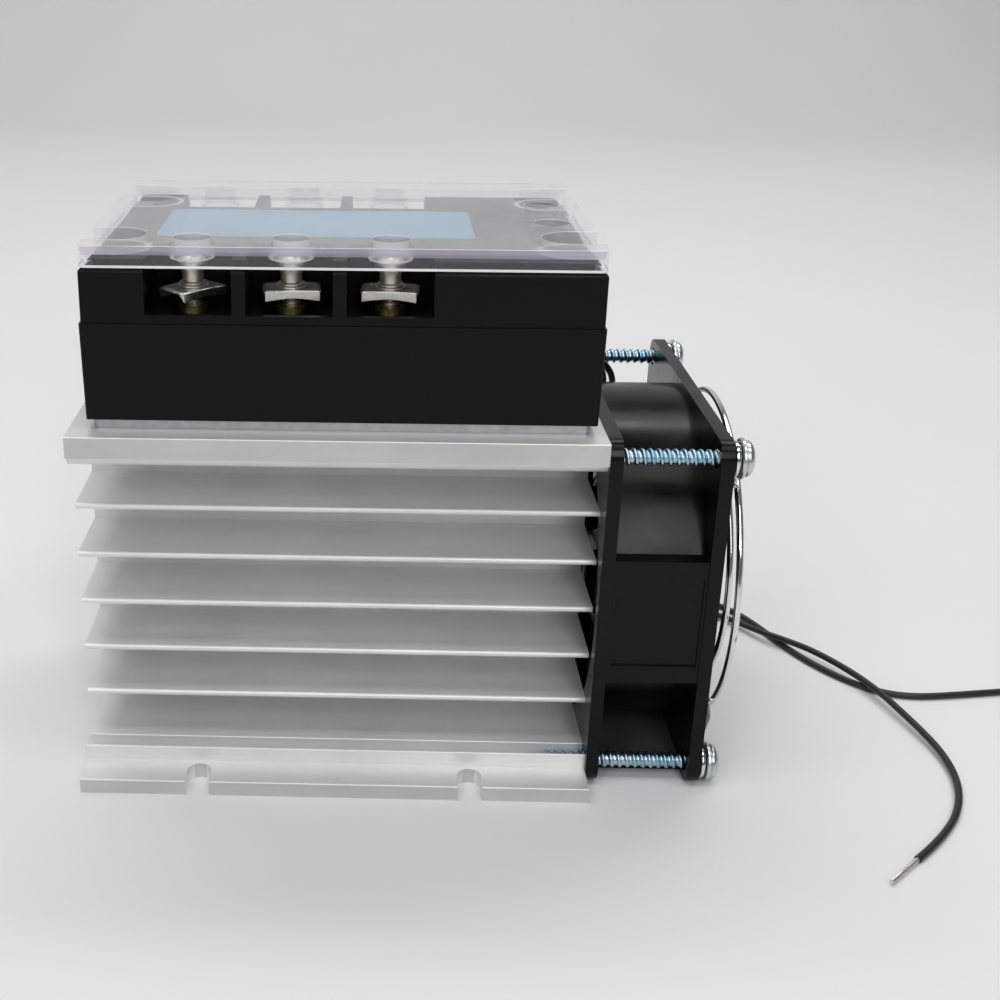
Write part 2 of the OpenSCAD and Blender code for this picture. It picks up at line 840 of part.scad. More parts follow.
heat_sink();
thermal_pad();
base_plate();
lower_housing();
terminal_frame();
clear_cover();
label_sheet();
indicator_lens();
ceramic_substrates();
thyristor_chips();
potting_block();
control_board();
optocouplers();
output_busbars();
control_posts();
relay_mounting_screws();
for (n = [1:6]) {
  output_clamp(n);
  output_screw(n);
}
for (n = [1:2]) {
  control_clamp(n);
  control_screw(n);
}
fan_frame();
motor_sticker();
motor_wiring_board();
bearing_tube();
fan_bearings();
stator_core();
stator_windings();
rotor_cup();
rotor_ring();
fan_shaft();
shaft_clip();
impeller();
finger_guard();
fan_screws();
lead_run();
fan_lead_a();
fan_lead_b();
lead_tip_a();
lead_tip_b();
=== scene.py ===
"""Looks of a three-phase solid state relay on a fan-cooled heat sink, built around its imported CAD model."""

import json
import math

import bmesh
import bpy
from mathutils import Matrix, Vector


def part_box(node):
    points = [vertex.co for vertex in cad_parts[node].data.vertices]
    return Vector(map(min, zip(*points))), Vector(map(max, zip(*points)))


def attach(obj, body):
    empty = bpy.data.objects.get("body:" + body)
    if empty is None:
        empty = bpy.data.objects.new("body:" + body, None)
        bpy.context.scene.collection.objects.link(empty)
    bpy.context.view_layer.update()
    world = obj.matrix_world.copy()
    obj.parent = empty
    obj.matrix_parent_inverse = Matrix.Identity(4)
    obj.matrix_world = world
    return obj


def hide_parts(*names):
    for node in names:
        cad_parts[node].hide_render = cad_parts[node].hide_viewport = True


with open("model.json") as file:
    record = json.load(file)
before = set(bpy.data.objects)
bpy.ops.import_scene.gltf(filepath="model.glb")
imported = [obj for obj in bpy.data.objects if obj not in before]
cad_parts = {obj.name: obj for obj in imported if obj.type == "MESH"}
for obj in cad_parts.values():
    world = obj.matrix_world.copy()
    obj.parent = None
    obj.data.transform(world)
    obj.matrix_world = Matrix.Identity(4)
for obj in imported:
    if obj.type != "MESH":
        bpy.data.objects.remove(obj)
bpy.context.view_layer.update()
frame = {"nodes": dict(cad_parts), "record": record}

MM = 0.001


def mm(*v):
    """A point given in millimetres, in Blender's metres."""
    return Vector(v) * MM


# Places in the row frame and sizes, in millimetres
FAN_X1 = 64.825
FAN_Z = 40.2
SCREW_Y = 35.75
# The guard's wire and ring radii, and how far its rings and spokes stand off the fan
GUARD_D = 1.5
RING_RADII = (12, 20.5, 29, 37)
RING_Z = 4.6
ROD_Z = 3.3
# How far each clamp is turned on its screw, in degrees, the outputs first
CLAMP_TURN = (45, 6, -4, 0, 0, 0, 0, 0)


# ---------------------------------------------------------------- camera

# Angles in degrees, and a lens in millimetres for a sensor 36 mm wide
CAMERA_AT = mm(-8.175, -303.4, 176.8)
CAMERA_PITCH = 21.31
CAMERA_YAW = 1.68
CAMERA_ROLL = 0.23
CAMERA_LENS = 50.44
CAMERA_SHIFT = (0.168, -0.031)


def make_camera():
    """The camera of the main view."""
    data = bpy.data.cameras.new("camera")
    data.lens = CAMERA_LENS
    data.sensor_width = 36
    data.shift_x, data.shift_y = CAMERA_SHIFT
    data.clip_start, data.clip_end = 0.01, 20
    camera = bpy.data.objects.new("camera", data)
    bpy.context.scene.collection.objects.link(camera)
    turn = Matrix.Rotation(math.radians(CAMERA_YAW), 4, "Z")
    turn = turn @ Matrix.Rotation(math.radians(90 - CAMERA_PITCH), 4, "X")
    turn = turn @ Matrix.Rotation(math.radians(CAMERA_ROLL), 4, "Z")
    camera.matrix_world = Matrix.Translation(CAMERA_AT) @ turn
    bpy.context.scene.camera = camera


# ---------------------------------------------------------------- materials


class Shader:
    """A material with a Principled shader and short ways to add procedural detail."""

    def __init__(self, name, colour, roughness, metallic=0.0):
        self.material = bpy.data.materials.new(name)
        self.material.use_nodes = True
        self.tree = self.material.node_tree
        self.bsdf = self.tree.nodes["Principled BSDF"]
        self.normal = None
        self.set("Base Color", (*colour, 1))
        self.set("Roughness", roughness)
        self.set("Metallic", metallic)

    def set(self, socket, value):
        """Sets one of the Principled shader's own sockets."""
        self.bsdf.inputs[socket].default_value = value

    def add(self, kind, **inputs):
        """A new node with its inputs set by name."""
        node = self.tree.nodes.new(kind)
        for socket, value in inputs.items():
            node.inputs[socket].default_value = value
        return node

    def link(self, a, b):
        """Joins output a to input b."""
        self.tree.links.new(a, b)

    def coords(self, stretch):
        """Object coordinates, which are the row frame in metres, scaled per axis."""
        where = self.add("ShaderNodeTexCoord")
        mapping = self.add("ShaderNodeMapping", Scale=stretch)
        self.link(where.outputs["Object"], mapping.inputs["Vector"])
        return mapping.outputs["Vector"]

    def noise(self, scale, detail=3.0, stretch=(1, 1, 1)):
        """Noise from 0 to 1, with about scale grains in a metre."""
        node = self.add("ShaderNodeTexNoise", Scale=scale, Detail=detail, Roughness=0.55)
        self.link(self.coords(stretch), node.inputs["Vector"])
        return node.outputs["Fac"]

    def ramp(self, fac, low, high, start=0.35, end=0.65):
        """Colour between low and high, as fac goes from start to end."""
        node = self.add("ShaderNodeValToRGB")
        stops = node.color_ramp.elements
        for stop, where, colour in zip(stops, (start, end), (low, high)):
            stop.position = where
            stop.color = (*colour, 1)
        self.link(fac, node.inputs["Fac"])
        return node.outputs["Color"]

    def vary_colour(self, fac, low, high, start=0.35, end=0.65):
        """Base colour between low and high, as fac goes from start to end."""
        self.link(self.ramp(fac, low, high, start, end), self.bsdf.inputs["Base Color"])

    def vary_roughness(self, fac, low, high):
        """Roughness between low and high, following fac."""
        grey = self.ramp(fac, (low,) * 3, (high,) * 3, 0.3, 0.7)
        self.link(grey, self.bsdf.inputs["Roughness"])

    def bump(self, fac, distance):
        """Bump of that depth in metres. Calls add up."""
        node = self.add("ShaderNodeBump", Distance=distance, Strength=1.0)
        self.link(fac, node.inputs["Height"])
        if self.normal is not None:
            self.link(self.normal, node.inputs["Normal"])
        self.normal = node.outputs["Normal"]
        self.link(self.normal, self.bsdf.inputs["Normal"])


def shade(colour, factor):
    """The colour made darker or lighter by factor."""
    return tuple(min(1, c * factor) for c in colour)


def extruded_aluminium(name, dark, light):
    """Mill-finished aluminium with fine streaks along X, the way it was pressed."""
    s = Shader(name, light, 0.45, 0.5)
    streaks = s.noise(1.0, 4, (14, 1700, 1700))
    s.vary_colour(s.noise(60, 4), dark, light, 0.3, 0.7)
    s.vary_roughness(streaks, 0.36, 0.5)
    s.bump(streaks, 0.00003)
    s.bump(s.noise(2600, 2), 0.000006)
    return s.material


def moulded_black(name, colour, rough, shine, grain=0.000006):
    """Black moulded plastic. shine is its specular level, grain the depth of its texture."""
    s = Shader(name, colour, rough)
    s.set("Specular IOR Level", shine)
    smudge = s.noise(90)
    s.vary_roughness(smudge, rough - 0.05, rough + 0.08)
    s.vary_colour(smudge, colour, shade(colour, 1.25))
    s.bump(s.noise(4500, 2), grain)
    return s.material


def clear_plastic(name, colour, cover):
    """Clear glossy moulding. cover is the share of what lies behind that its surface hides."""
    rough = 0.06
    s = Shader(name, colour, rough)
    s.set("Coat Weight", 0.6)
    s.set("Coat Roughness", 0.02)
    scuff = s.noise(260, 4)
    s.vary_roughness(scuff, rough, rough + 0.08)
    s.vary_colour(scuff, shade(colour, 0.97), colour)
    s.bump(s.noise(110, 2), 0.00003)
    haze = s.ramp(s.noise(35, 2), (cover * 0.92,) * 3, (min(1, cover * 1.08),) * 3)
    s.link(haze, s.bsdf.inputs["Alpha"])
    return s.material


def plated(name, colour, rough, spread=0.08):
    """Metal plating whose colour and roughness vary a little, by up to spread."""
    s = Shader(name, colour, rough, 1.0)
    s.vary_colour(s.noise(500), shade(colour, 0.88), colour)
    s.vary_roughness(s.noise(900), rough - spread / 2, rough + spread)
    s.bump(s.noise(3000, 2), 0.000008)
    return s.material


def zinc_blue():
    """Blue passivated zinc."""
    s = Shader("zinc_blue", (0.5, 0.66, 0.78), 0.3, 1.0)
    s.vary_colour(s.noise(260, 2), (0.3, 0.52, 0.66), (0.56, 0.7, 0.78))
    s.vary_roughness(s.noise(400, 2), 0.26, 0.36)
    return s.material


def label_film():
    """Light blue printed film, without its print."""
    s = Shader("label_film", (0.15, 0.5, 0.74), 0.4)
    s.vary_colour(s.noise(40, 2), (0.13, 0.48, 0.72), (0.18, 0.53, 0.76))
    return s.material


def plain(name, colour, rough, metallic=0.0, scale=800):
    """Any other surface: one colour with a fine grain."""
    s = Shader(name, colour, rough, metallic)
    grain = s.noise(scale)
    s.vary_colour(grain, shade(colour, 0.85), shade(colour, 1.1))
    s.bump(grain, 0.00001)
    return s.material


MAT = {}


def make_materials():
    """Every material of the object, by the name that the pieces use."""
    MAT["aluminium"] = extruded_aluminium("aluminium", (0.78, 0.78, 0.78), (0.85, 0.85, 0.852))
    # painted shade: a darker copy of the same aluminium for the heat sink's long outer sides
    MAT["aluminium_painted_shade"] = extruded_aluminium("aluminium_painted_shade", (0.56, 0.56, 0.56), (0.64, 0.64, 0.642))
    MAT["housing"] = moulded_black("housing_black", (0.0014, 0.0017, 0.0015), 0.38, 0.17)
    MAT["fan"] = moulded_black("fan_black", (0.0014, 0.0016, 0.0015), 0.22, 0.19, 0.000003)
    MAT["fan_inside"] = moulded_black("fan_dull_black", (0.06, 0.064, 0.062), 0.5, 0.3)
    MAT["impeller"] = moulded_black("impeller_black", (0.002, 0.002, 0.0021), 0.3, 0.25)
    MAT["clear"] = clear_plastic("clear_roof", (0.8, 0.79, 0.82), 0.34)
    MAT["clear_wall"] = clear_plastic("clear_wall", (0.62, 0.6, 0.67), 0.08)
    # painted highlight: near-white, mostly hiding clear plastic for the polished edges that gather light
    MAT["clear_painted_highlight"] = clear_plastic("clear_painted_highlight", (0.95, 0.95, 0.96), 0.85)
    # painted lilac band for the front skirt's top, standing for light seen through the roof's edge
    MAT["clear_painted_band"] = clear_plastic("clear_painted_band", (0.52, 0.47, 0.6), 0.5)
    # painted highlight: pale hole walls and collars near the front, where the clear plastic looks white in
    # the light
    MAT["clear_painted_collar"] = clear_plastic("clear_painted_collar", (0.93, 0.92, 0.95), 0.36)
    MAT["label"] = label_film()
    MAT["nickel"] = plated("nickel", (0.76, 0.71, 0.65), 0.42)
    MAT["clamp"] = plated("clamp_nickel", (0.68, 0.66, 0.62), 0.3)
    MAT["chrome"] = plated("chrome", (0.82, 0.82, 0.82), 0.07, 0.03)
    MAT["zinc"] = zinc_blue()
    MAT["head"] = plated("zinc_bright", (0.66, 0.7, 0.72), 0.27)
    MAT["base"] = plated("base_metal", (0.56, 0.57, 0.59), 0.5)
    MAT["brass"] = plated("brass", (0.5, 0.39, 0.16), 0.34)
    MAT["lead"] = plain("lead_pvc", (0.012, 0.012, 0.012), 0.42)
    MAT["tin"] = plated("tinned", (0.72, 0.71, 0.68), 0.32)
    MAT["lens"] = plain("lens", (0.07, 0.03, 0.03), 0.3)
    MAT["board"] = plain("board", (0.03, 0.18, 0.07), 0.4)
    MAT["ceramic"] = plain("ceramic", (0.8, 0.8, 0.77), 0.6)
    MAT["gel"] = plain("gel", (0.6, 0.6, 0.55), 0.3)
    MAT["chip"] = plain("chip", (0.06, 0.06, 0.065), 0.25)
    MAT["part"] = plain("component", (0.02, 0.02, 0.02), 0.4)
    MAT["pad"] = plain("pad", (0.45, 0.45, 0.47), 0.8)
    MAT["sticker"] = plain("sticker", (0.75, 0.75, 0.73), 0.5, scale=200)
    MAT["bronze"] = plain("bronze", (0.5, 0.33, 0.17), 0.45, 1.0)
    MAT["steel"] = plain("motor_steel", (0.4, 0.41, 0.43), 0.4, 1.0)
    MAT["copper"] = plain("copper", (0.7, 0.3, 0.12), 0.3, 1.0)
    MAT["cast"] = plain("cast", (0.5, 0.5, 0.5), 0.5, 1.0)
    MAT["clip"] = plain("clip", (0.03, 0.03, 0.03), 0.4)


NODE_MATERIALS = {
    "heat_sink": "aluminium", "thermal_pad": "pad", "base_plate": "base", "lower_housing": "housing",
    "terminal_frame": "housing", "clear_cover": "clear", "label_sheet": "label", "indicator_lens": "lens",
    "ceramic_substrates": "ceramic", "thyristor_chips": "chip", "potting_block": "gel",
    "control_board": "board", "optocouplers": "part", "output_busbars": "brass",
    "control_posts": "brass", "relay_mounting_screws": "head",
    "fan_frame": "fan", "motor_sticker": "sticker", "motor_wiring_board": "board", "bearing_tube": "brass",
    "fan_bearings": "bronze", "stator_core": "steel", "stator_windings": "copper", "rotor_cup": "steel",
    "rotor_ring": "cast", "fan_shaft": "steel", "shaft_clip": "clip", "impeller": "impeller",
    "finger_guard": "chrome", "fan_screws": "zinc", "lead_run": "lead", "fan_lead_a": "lead",
    "fan_lead_b": "lead", "lead_tip_a": "tin", "lead_tip_b": "tin",
}
for n in range(1, 7):
    NODE_MATERIALS[f"output_clamp_{n}"] = "clamp"
    NODE_MATERIALS[f"output_screw_{n}"] = "nickel"
for n in (1, 2):
    NODE_MATERIALS[f"control_clamp_{n}"] = "clamp"
    NODE_MATERIALS[f"control_screw_{n}"] = "nickel"


def dress_nodes():
    """Gives every CAD node its material."""
    for name, obj in frame["nodes"].items():
        obj.data.materials.clear()
        obj.data.materials.append(MAT[NODE_MATERIALS[name]])


# ---------------------------------------------------------------- mesh helpers


def finish_piece(name, bm, material, smooth_angle=35, weighted=False, more=()):
    """An object made from a bmesh, smooth except at edges sharper than smooth_angle degrees."""
    mesh = bpy.data.meshes.new(name)
    bm.normal_update()
    limit = math.radians(smooth_angle)
    for face in bm.faces:
        face.smooth = True
    for edge in bm.edges:
        edge.smooth = len(edge.link_faces) == 2 and edge.calc_face_angle(0) < limit
    bm.to_mesh(mesh)
    bm.free()
    obj = bpy.data.objects.new(name, mesh)
    bpy.context.scene.collection.objects.link(obj)
    for key in (material, *more):
        mesh.materials.append(MAT[key])
    if weighted:
        normals = obj.modifiers.new("even_normals", "WEIGHTED_NORMAL")
        normals.keep_sharp = True
    return obj


def place(obj, *nodes):
    """Rides on the nodes' body and stands for them, hiding them."""
    record = frame["record"]
    body = next(b for b, names in record["behaviour"]["bodies"].items() if nodes[0] in names)
    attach(obj, body)
    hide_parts(*nodes)
    return obj


def cad_copy(node):
    """A bmesh of a CAD node with its flat faces merged, ready for rounding."""
    bm = bmesh.new()
    bm.from_mesh(frame["nodes"][node].data)
    bmesh.ops.remove_doubles(bm, verts=bm.verts, dist=0.003 * MM)
    bmesh.ops.dissolve_limit(bm, angle_limit=math.radians(0.6), verts=bm.verts, edges=bm.edges)
    return bm


def round_edges(bm, width, segments, choose, material=-1):
    """Rounds the sharp outer edges for which choose(middle, direction, length in mm) is true."""
    picked = []
    for edge in bm.edges:
        if len(edge.link_faces) != 2 or not edge.is_convex:
            continue
        if edge.calc_face_angle(0) < math.radians(35):
            continue
        a, b = edge.verts[0].co / MM, edge.verts[1].co / MM
        if choose((a + b) / 2, (b - a).normalized(), (b - a).length):
            picked.append(edge)
    bmesh.ops.bevel(
        bm, geom=picked, offset=width * MM, offset_type="OFFSET", segments=segments, profile=0.5,
        affect="EDGES", clamp_overlap=True, material=material,
    )


def frames_along(points, cyclic=False):
    """Two side vectors for each point of a path, carried along it without twist."""
    count = len(points)
    tangents = []
    for i in range(count):
        if cyclic:
            ahead, behind = points[(i + 1) % count], points[i - 1]
        else:
            ahead, behind = points[min(i + 1, count - 1)], points[max(i - 1, 0)]
        tangents.append((ahead - behind).normalized())
    side = tangents[0].orthogonal().normalized()
    result = []
    for t in tangents:
        side = (side - t * side.dot(t)).normalized()
        result.append((side, t.cross(side)))
    return result


def skin(bm, rings, closed=False, caps=True):
    """Faces between rings of vertices, each ring being closed."""
    pairs = list(zip(rings, rings[1:] + rings[:1])) if closed else list(zip(rings, rings[1:]))
    for a, b in pairs:
        count = len(a)
        for k in range(count):
            j = (k + 1) % count
            bm.faces.new((a[k], a[j], b[j], b[k]))
    if caps and not closed:
        bm.faces.new(rings[0][::-1])
        bm.faces.new(rings[-1])


def tube(bm, points, radius, sides, cyclic=False):
    """Adds a round tube along points to bm."""
    turn = [2 * math.pi * k / sides for k in range(sides)]
    rings = []
    for p, (u, v) in zip(points, frames_along(points, cyclic)):
        rings.append([bm.verts.new(p + (u * math.cos(a) + v * math.sin(a)) * radius) for a in turn])
    skin(bm, rings, closed=cyclic)


def round_ring(radius, count):
    """The (x, y) pairs of points spread evenly on a circle round the origin."""
    turn = [2 * math.pi * k / count for k in range(count)]
    return [(radius * math.cos(a), radius * math.sin(a)) for a in turn]


def catmull(points, steps):
    """A smooth line through points, with steps pieces between neighbours."""
    line = []
    last = len(points) - 1
    for i in range(last):
        a, b = points[max(i - 1, 0)], points[i]
        c, d = points[i + 1], points[min(i + 2, last)]
        for k in range(steps):
            t = k / steps
            square = (2 * a - 5 * b + 4 * c - d) * t ** 2
            cube = (3 * b - a - 3 * c + d) * t ** 3
            line.append(0.5 * (2 * b + (c - a) * t + square + cube))
    line.append(points[last])
    return line


class Local:
    """Turns (across, along, up) millimetres of a part's own frame into row-frame points."""

    def __init__(self, origin, up="Z", turn=0.0):
        self.origin = origin
        c, s = math.cos(math.radians(turn)), math.sin(math.radians(turn))
        if up == "Z":
            self.u, self.v, self.w = Vector((c, s, 0)), Vector((-s, c, 0)), Vector((0, 0, 1))
        else:
            self.u, self.v, self.w = Vector((0, c, s)), Vector((0, -s, c)), Vector((1, 0, 0))

    def __call__(self, x, y, z):
        return self.origin + (self.u * x + self.v * y + self.w * z) * MM


def lathe(bm, at, profile, sides, caps=True):
    """Turns a list of (radius, height) in millimetres around the local up axis."""
    rings = []
    for r, z in profile:
        rings.append([bm.verts.new(at(x, y, z)) for x, y in round_ring(r, sides)])
    skin(bm, rings, caps=caps)


def thread(bm, at, outer, root, pitch, low, high, sides, steps, crest, point=0.0):
    """A right-hand thread from low to high, in steps slices a turn.

    crest is half the width of the thread's flat top as a share of the pitch.
    The last point millimetres at the low end taper off.
    """
    flank = 0.26
    count = max(2, int((high - low) / pitch * steps))
    rings = []
    for i in range(count + 1):
        z = low + (high - low) * i / count
        shrink = min(1.0, 0.35 + 0.65 * (z - low) / point) if point else 1.0
        ring = []
        for k in range(sides):
            phase = (z / pitch - k / sides) % 1.0
            rise = min(1.0, max(0.0, 1 - (abs(phase - 0.5) - crest) / flank))
            r = (root + (outer - root) * rise) * shrink
            a = 2 * math.pi * k / sides
            ring.append(bm.verts.new(at(r * math.cos(a), r * math.sin(a), z)))
        rings.append(ring)
    skin(bm, rings)


def screw_head(bm, at, radius, bottom, height, arm, slit, depth, flare=None):
    """Domed head with a cross recess, arm and slit being the half length and width of its arms.

    flare is the radius of the neck that the head widens from, if it does.
    """
    sides, slices = 72, 26
    arm_slope, slit_slope = 0.35, 0.14
    flare_drop = 0.45
    rings = []

    def ring(r, z_of):
        rings.append([bm.verts.new(at(x, y, z_of(x, y))) for x, y in round_ring(r, sides)])

    def dome(x, y):
        r = math.hypot(x, y) / radius
        top = bottom + height * (0.22 + 0.78 * math.sqrt(max(0.0, 1 - r * r)))
        inside = 0.0
        for p, q in ((abs(x), abs(y)), (abs(y), abs(x))):
            long_part = min(1.0, max(0.0, (arm - p) / arm_slope))
            wide_part = min(1.0, max(0.0, (slit - q) / slit_slope))
            inside = max(inside, long_part * wide_part)
        return top - depth * inside

    if flare:
        for t in (0.0, 0.25, 0.5, 0.75, 1.0):
            spread = flare + (radius - flare) * (1 - math.sqrt(1 - t * t))
            ring(spread, lambda x, y, t=t: bottom - flare_drop * (1 - t))
    else:
        ring(0.3 * radius, lambda x, y: bottom)
        ring(radius * 0.96, lambda x, y: bottom)
    ring(radius, lambda x, y: bottom + 0.12 * height)
    for i in range(slices + 1):
        ring(radius * (1 - i / slices) + 0.02, dome)
    skin(bm, rings)


# ---------------------------------------------------------------- relay

# Height of the frame's rim, then how near the outside an edge is rounded, and how near it
# a point is moved by the draft
RIM_Z = 113.6
OUTER_BAND = 1.6
DRAFT_BAND = 1.2
DRAFT = 0.35


def make_housing():
    """The two black mouldings, with soft edges where the moulds part, and the metal base."""
    low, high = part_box("lower_housing")
    left, right, front, back = low.x / MM, high.x / MM, low.y / MM, high.y / MM

    def below_rim(middle, direction, length):
        return length > 2.5 and middle.z < RIM_Z - 1.4

    def outer_level(middle, direction, length):
        near = min(middle.x - left, right - middle.x, middle.y - front, back - middle.y)
        return near < OUTER_BAND and abs(direction.z) < 0.1

    def any_level(middle, direction, length):
        return abs(direction.z) < 0.1 and length > 0.1

    bm = cad_copy("terminal_frame")
    round_edges(bm, 0.22, 2, below_rim)
    place(finish_piece("frame_moulding", bm, "housing", 40, True), "terminal_frame")

    bm = cad_copy("lower_housing")
    round_edges(bm, 0.3, 3, outer_level)
    # the moulding draws in a little towards its foot
    middle, tall = (low + high) / 2, high.z - low.z
    for v in bm.verts:
        for axis in (0, 1):
            reach = v.co[axis] - middle[axis]
            edge = (high[axis] - low[axis]) / 2
            if abs(abs(reach) - edge) < DRAFT_BAND * MM:
                v.co[axis] += math.copysign(DRAFT * MM * (v.co.z - low.z) / tall, reach)
    place(finish_piece("housing_moulding", bm, "housing", 40, True), "lower_housing")

    bm = cad_copy("base_plate")
    round_edges(bm, 0.3, 2, any_level)
    place(finish_piece("metal_base", bm, "base", 40, True), "base_plate")


def cut_level(bm, z):
    """Splits the faces that cross height z."""
    everything = bm.verts[:] + bm.edges[:] + bm.faces[:]
    bmesh.ops.bisect_plane(
        bm, geom=everything, plane_co=(0, 0, z * MM), plane_no=(0, 0, 1), dist=0.00001 * MM
    )


# The cover's roof and walls, the bands along its top and foot, painted as a lilac band and a white highlight,
# how near the outside a face is the outer skin, and how far from the front the inner faces take a painted
# highlight
ROOF_T = 1.4
WALL_T = 2
EDGE_BAND = 1.75
FOOT_BAND = 0.55
SKIN_T = 0.3
PAINTED_HIGHLIGHT_REACH = 55


def make_cover():
    """Clear cover: pale roof and clear skirt, with painted highlights on its polished edges and front collars
    and a painted lilac band along the front skirt's top, where they gather light.
    """
    low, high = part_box("clear_cover")
    foot, top = low.z / MM, high.z / MM
    roof = top - ROOF_T
    skins = ("clear", "clear_wall", "clear_painted_highlight", "clear_painted_band", "clear_painted_collar")

    def skin_of(face):
        at = face.calc_center_median() / MM
        if abs(face.normal.z) > 0.5:
            return "clear" if at.z > roof - 0.1 else "clear_painted_highlight"
        front = at.y - low.y / MM
        near = min(at.x - low.x / MM, high.x / MM - at.x, front, high.y / MM - at.y)
        if near > SKIN_T:
            # inner faces near the front get the pale painted highlight, those further back stay clear
            pale = front < PAINTED_HIGHLIGHT_REACH and (near > WALL_T or at.z > roof)
            return "clear_painted_collar" if pale else "clear_wall"
        # the foot band gets the painted highlight, as do flat faces below the roof
        if at.z < foot + FOOT_BAND:
            return "clear_painted_highlight"
        # the front skirt's top band gets the painted lilac band
        return "clear_painted_band" if at.z > top - EDGE_BAND and front < SKIN_T else "clear_wall"

    def rim(middle, direction, length):
        return abs(direction.z) < 0.2 and (middle.z > top - 0.05 or middle.z < foot + 0.4)

    bm = cad_copy("clear_cover")
    cut_level(bm, top - EDGE_BAND)
    cut_level(bm, foot + FOOT_BAND)
    bm.normal_update()
    for face in bm.faces:
        face.material_index = skins.index(skin_of(face))
    round_edges(bm, 0.3, 3, rim, skins.index("clear_painted_highlight"))
    place(finish_piece("cover_moulding", bm, "clear", 50, True, skins[1:]), "clear_cover")


def make_lens():
    """Small round lamp with a domed top."""
    radius, dome = 1.5, 1.3
    low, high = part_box("indicator_lens")
    at = Local(Vector(((low.x + high.x) / 2, (low.y + high.y) / 2, low.z)))
    shoulder = (high.z - low.z) / MM - dome
    profile = [(radius, 0), (radius, shoulder)]
    for a in (0.3, 0.6, 0.9, 1.2, 1.4, 1.52):
        profile.append((radius * math.cos(a), shoulder + dome * math.sin(a)))
    bm = bmesh.new()
    lathe(bm, at, profile, 28)
    place(finish_piece("lamp", bm, "lens"), "indicator_lens")


# ---------------------------------------------------------------- terminals

# Both kinds of terminal, in millimetres: a clamp's length, width and hole radius, then
# a screw's diameter, head radius, head height, neck and reach below the clamp
TERMINALS = {
    "output": {"clamp": (11.8, 8.2, 2.1), "screw": (3.9, 3.2, 2.6, 3.9, 5.4)},
    "control": {"clamp": (7.6, 7.6, 1.6), "screw": (2.9, 2.7, 2.0, 2.6, 5.4)},
}
OUTPUTS = 6
# Thickness of a clamp and drop of its turned edges
CLAMP_T = 0.8
CLAMP_LIP = 1.4
# Thickness of the flat washer and of the split washer's bar
WASHER_T = 0.34
SPRING_T = 0.3


def clamp_outline(l, w, hole):
    """The hole's circle and the plate's rim, point for point, the rim's corners drawn in a little."""
    count, corner, ease = 64, 0.5, 0.054
    inner, rim = [], []
    for k in range(count):
        a = 2 * math.pi * (k + 0.5) / count
        c, s = math.cos(a), math.sin(a)
        reach = min(l / 2 / max(abs(c), 1e-6), w / 2 / max(abs(s), 1e-6))
        x, y = reach * c, reach * s
        over = max(0.0, abs(x) - (l / 2 - corner)) * max(0.0, abs(y) - (w / 2 - corner))
        pull = 1 - ease * over / corner ** 2
        inner.append((hole * c, hole * s))
        rim.append((x * pull, y * pull))
    return inner, rim


def make_clamp(name, node, at, l, w, hole):
    """Pressed clamp: its long edges are turned down and reach lowest at their ends."""
    inner, rim = clamp_outline(l, w, hole)
    bm = bmesh.new()
    rings = []

    def ring(points, z_of, scale=1.0):
        rings.append([bm.verts.new(at(x * scale, y * scale, z_of(x, y))) for x, y in points])

    def bow(x, y):
        return -0.25 * (2 * x / l) ** 2

    def turned_edge(x, y):
        along_edge = 1.0 if abs(y) > w / 2 - 0.3 else 0.0
        drop = along_edge * (0.55 + 0.45 * abs(2 * x / l) ** 1.5)
        return -CLAMP_LIP * drop + bow(x, y) * 0.3

    inside = 1 - 2 * CLAMP_T / min(l, w)
    ring(inner, lambda x, y: CLAMP_T * 0.08)
    ring(inner, lambda x, y: CLAMP_T * 0.92)
    ring(inner, lambda x, y: CLAMP_T, 1.06)
    ring(rim, lambda x, y: CLAMP_T + bow(x, y) * 0.5, 0.8)
    ring(rim, lambda x, y: CLAMP_T + bow(x, y), 0.95)
    ring(rim, lambda x, y: CLAMP_T * 0.75 + bow(x, y))
    ring(rim, lambda x, y: turned_edge(x, y) + 0.05)
    ring(rim, turned_edge, 0.985)
    ring(rim, turned_edge, inside + 0.03)
    ring(rim, bow, inside)
    skin(bm, rings, closed=True)
    bmesh.ops.recalc_face_normals(bm, faces=bm.faces)
    place(finish_piece(name, bm, "clamp", 42), node)


def make_terminal_screw(name, node, at, d, head_r, head_h, neck, under):
    """Screw above its clamp: threaded below, plain neck, two washers and a domed head."""
    r = d / 2
    pitch = 0.7 if d > 3 else 0.5
    top = CLAMP_T + neck
    bm = bmesh.new()
    thread(bm, at, r, r * 0.8, pitch, -under, CLAMP_T + 0.9, 24, 8, 0.05)
    neck_line = [(r * 0.9, CLAMP_T + 0.7), (r * 1.1, CLAMP_T + 1.1)]
    neck_line += [(r * 1.12, top - 1.1), (r * 1.4, top - 0.1)]
    lathe(bm, at, neck_line, 40)
    screw_head(bm, at, head_r, top, head_h, head_r * 0.62, 0.42, head_h * 0.5, r * 0.97)

    # flat washer on the clamp
    washer_r = head_r - 0.15
    z0 = CLAMP_T + 0.05
    z1 = z0 + WASHER_T
    lathe(bm, at, [(r, z0), (washer_r, z0), (washer_r, z1), (r, z1)], 48, False)

    # split washer: a flat bar bent to one turn, its ends a little apart
    middle = (r + washer_r - 0.35) / 2 + 0.05
    half = (washer_r - 0.4 - r) / 2
    slices = 40
    bar = []
    for i in range(slices + 1):
        a = math.radians(12 + 336 * i / slices)
        low = z1 + 0.08 + 0.12 * i / slices
        high = low + SPRING_T
        section = ((middle - half, low), (middle + half, low), (middle + half, high), (middle - half, high))
        bar.append([bm.verts.new(at(q * math.cos(a), q * math.sin(a), z)) for q, z in section])
    skin(bm, bar)
    bmesh.ops.recalc_face_normals(bm, faces=bm.faces)
    place(finish_piece(name, bm, "nickel", 38), node)


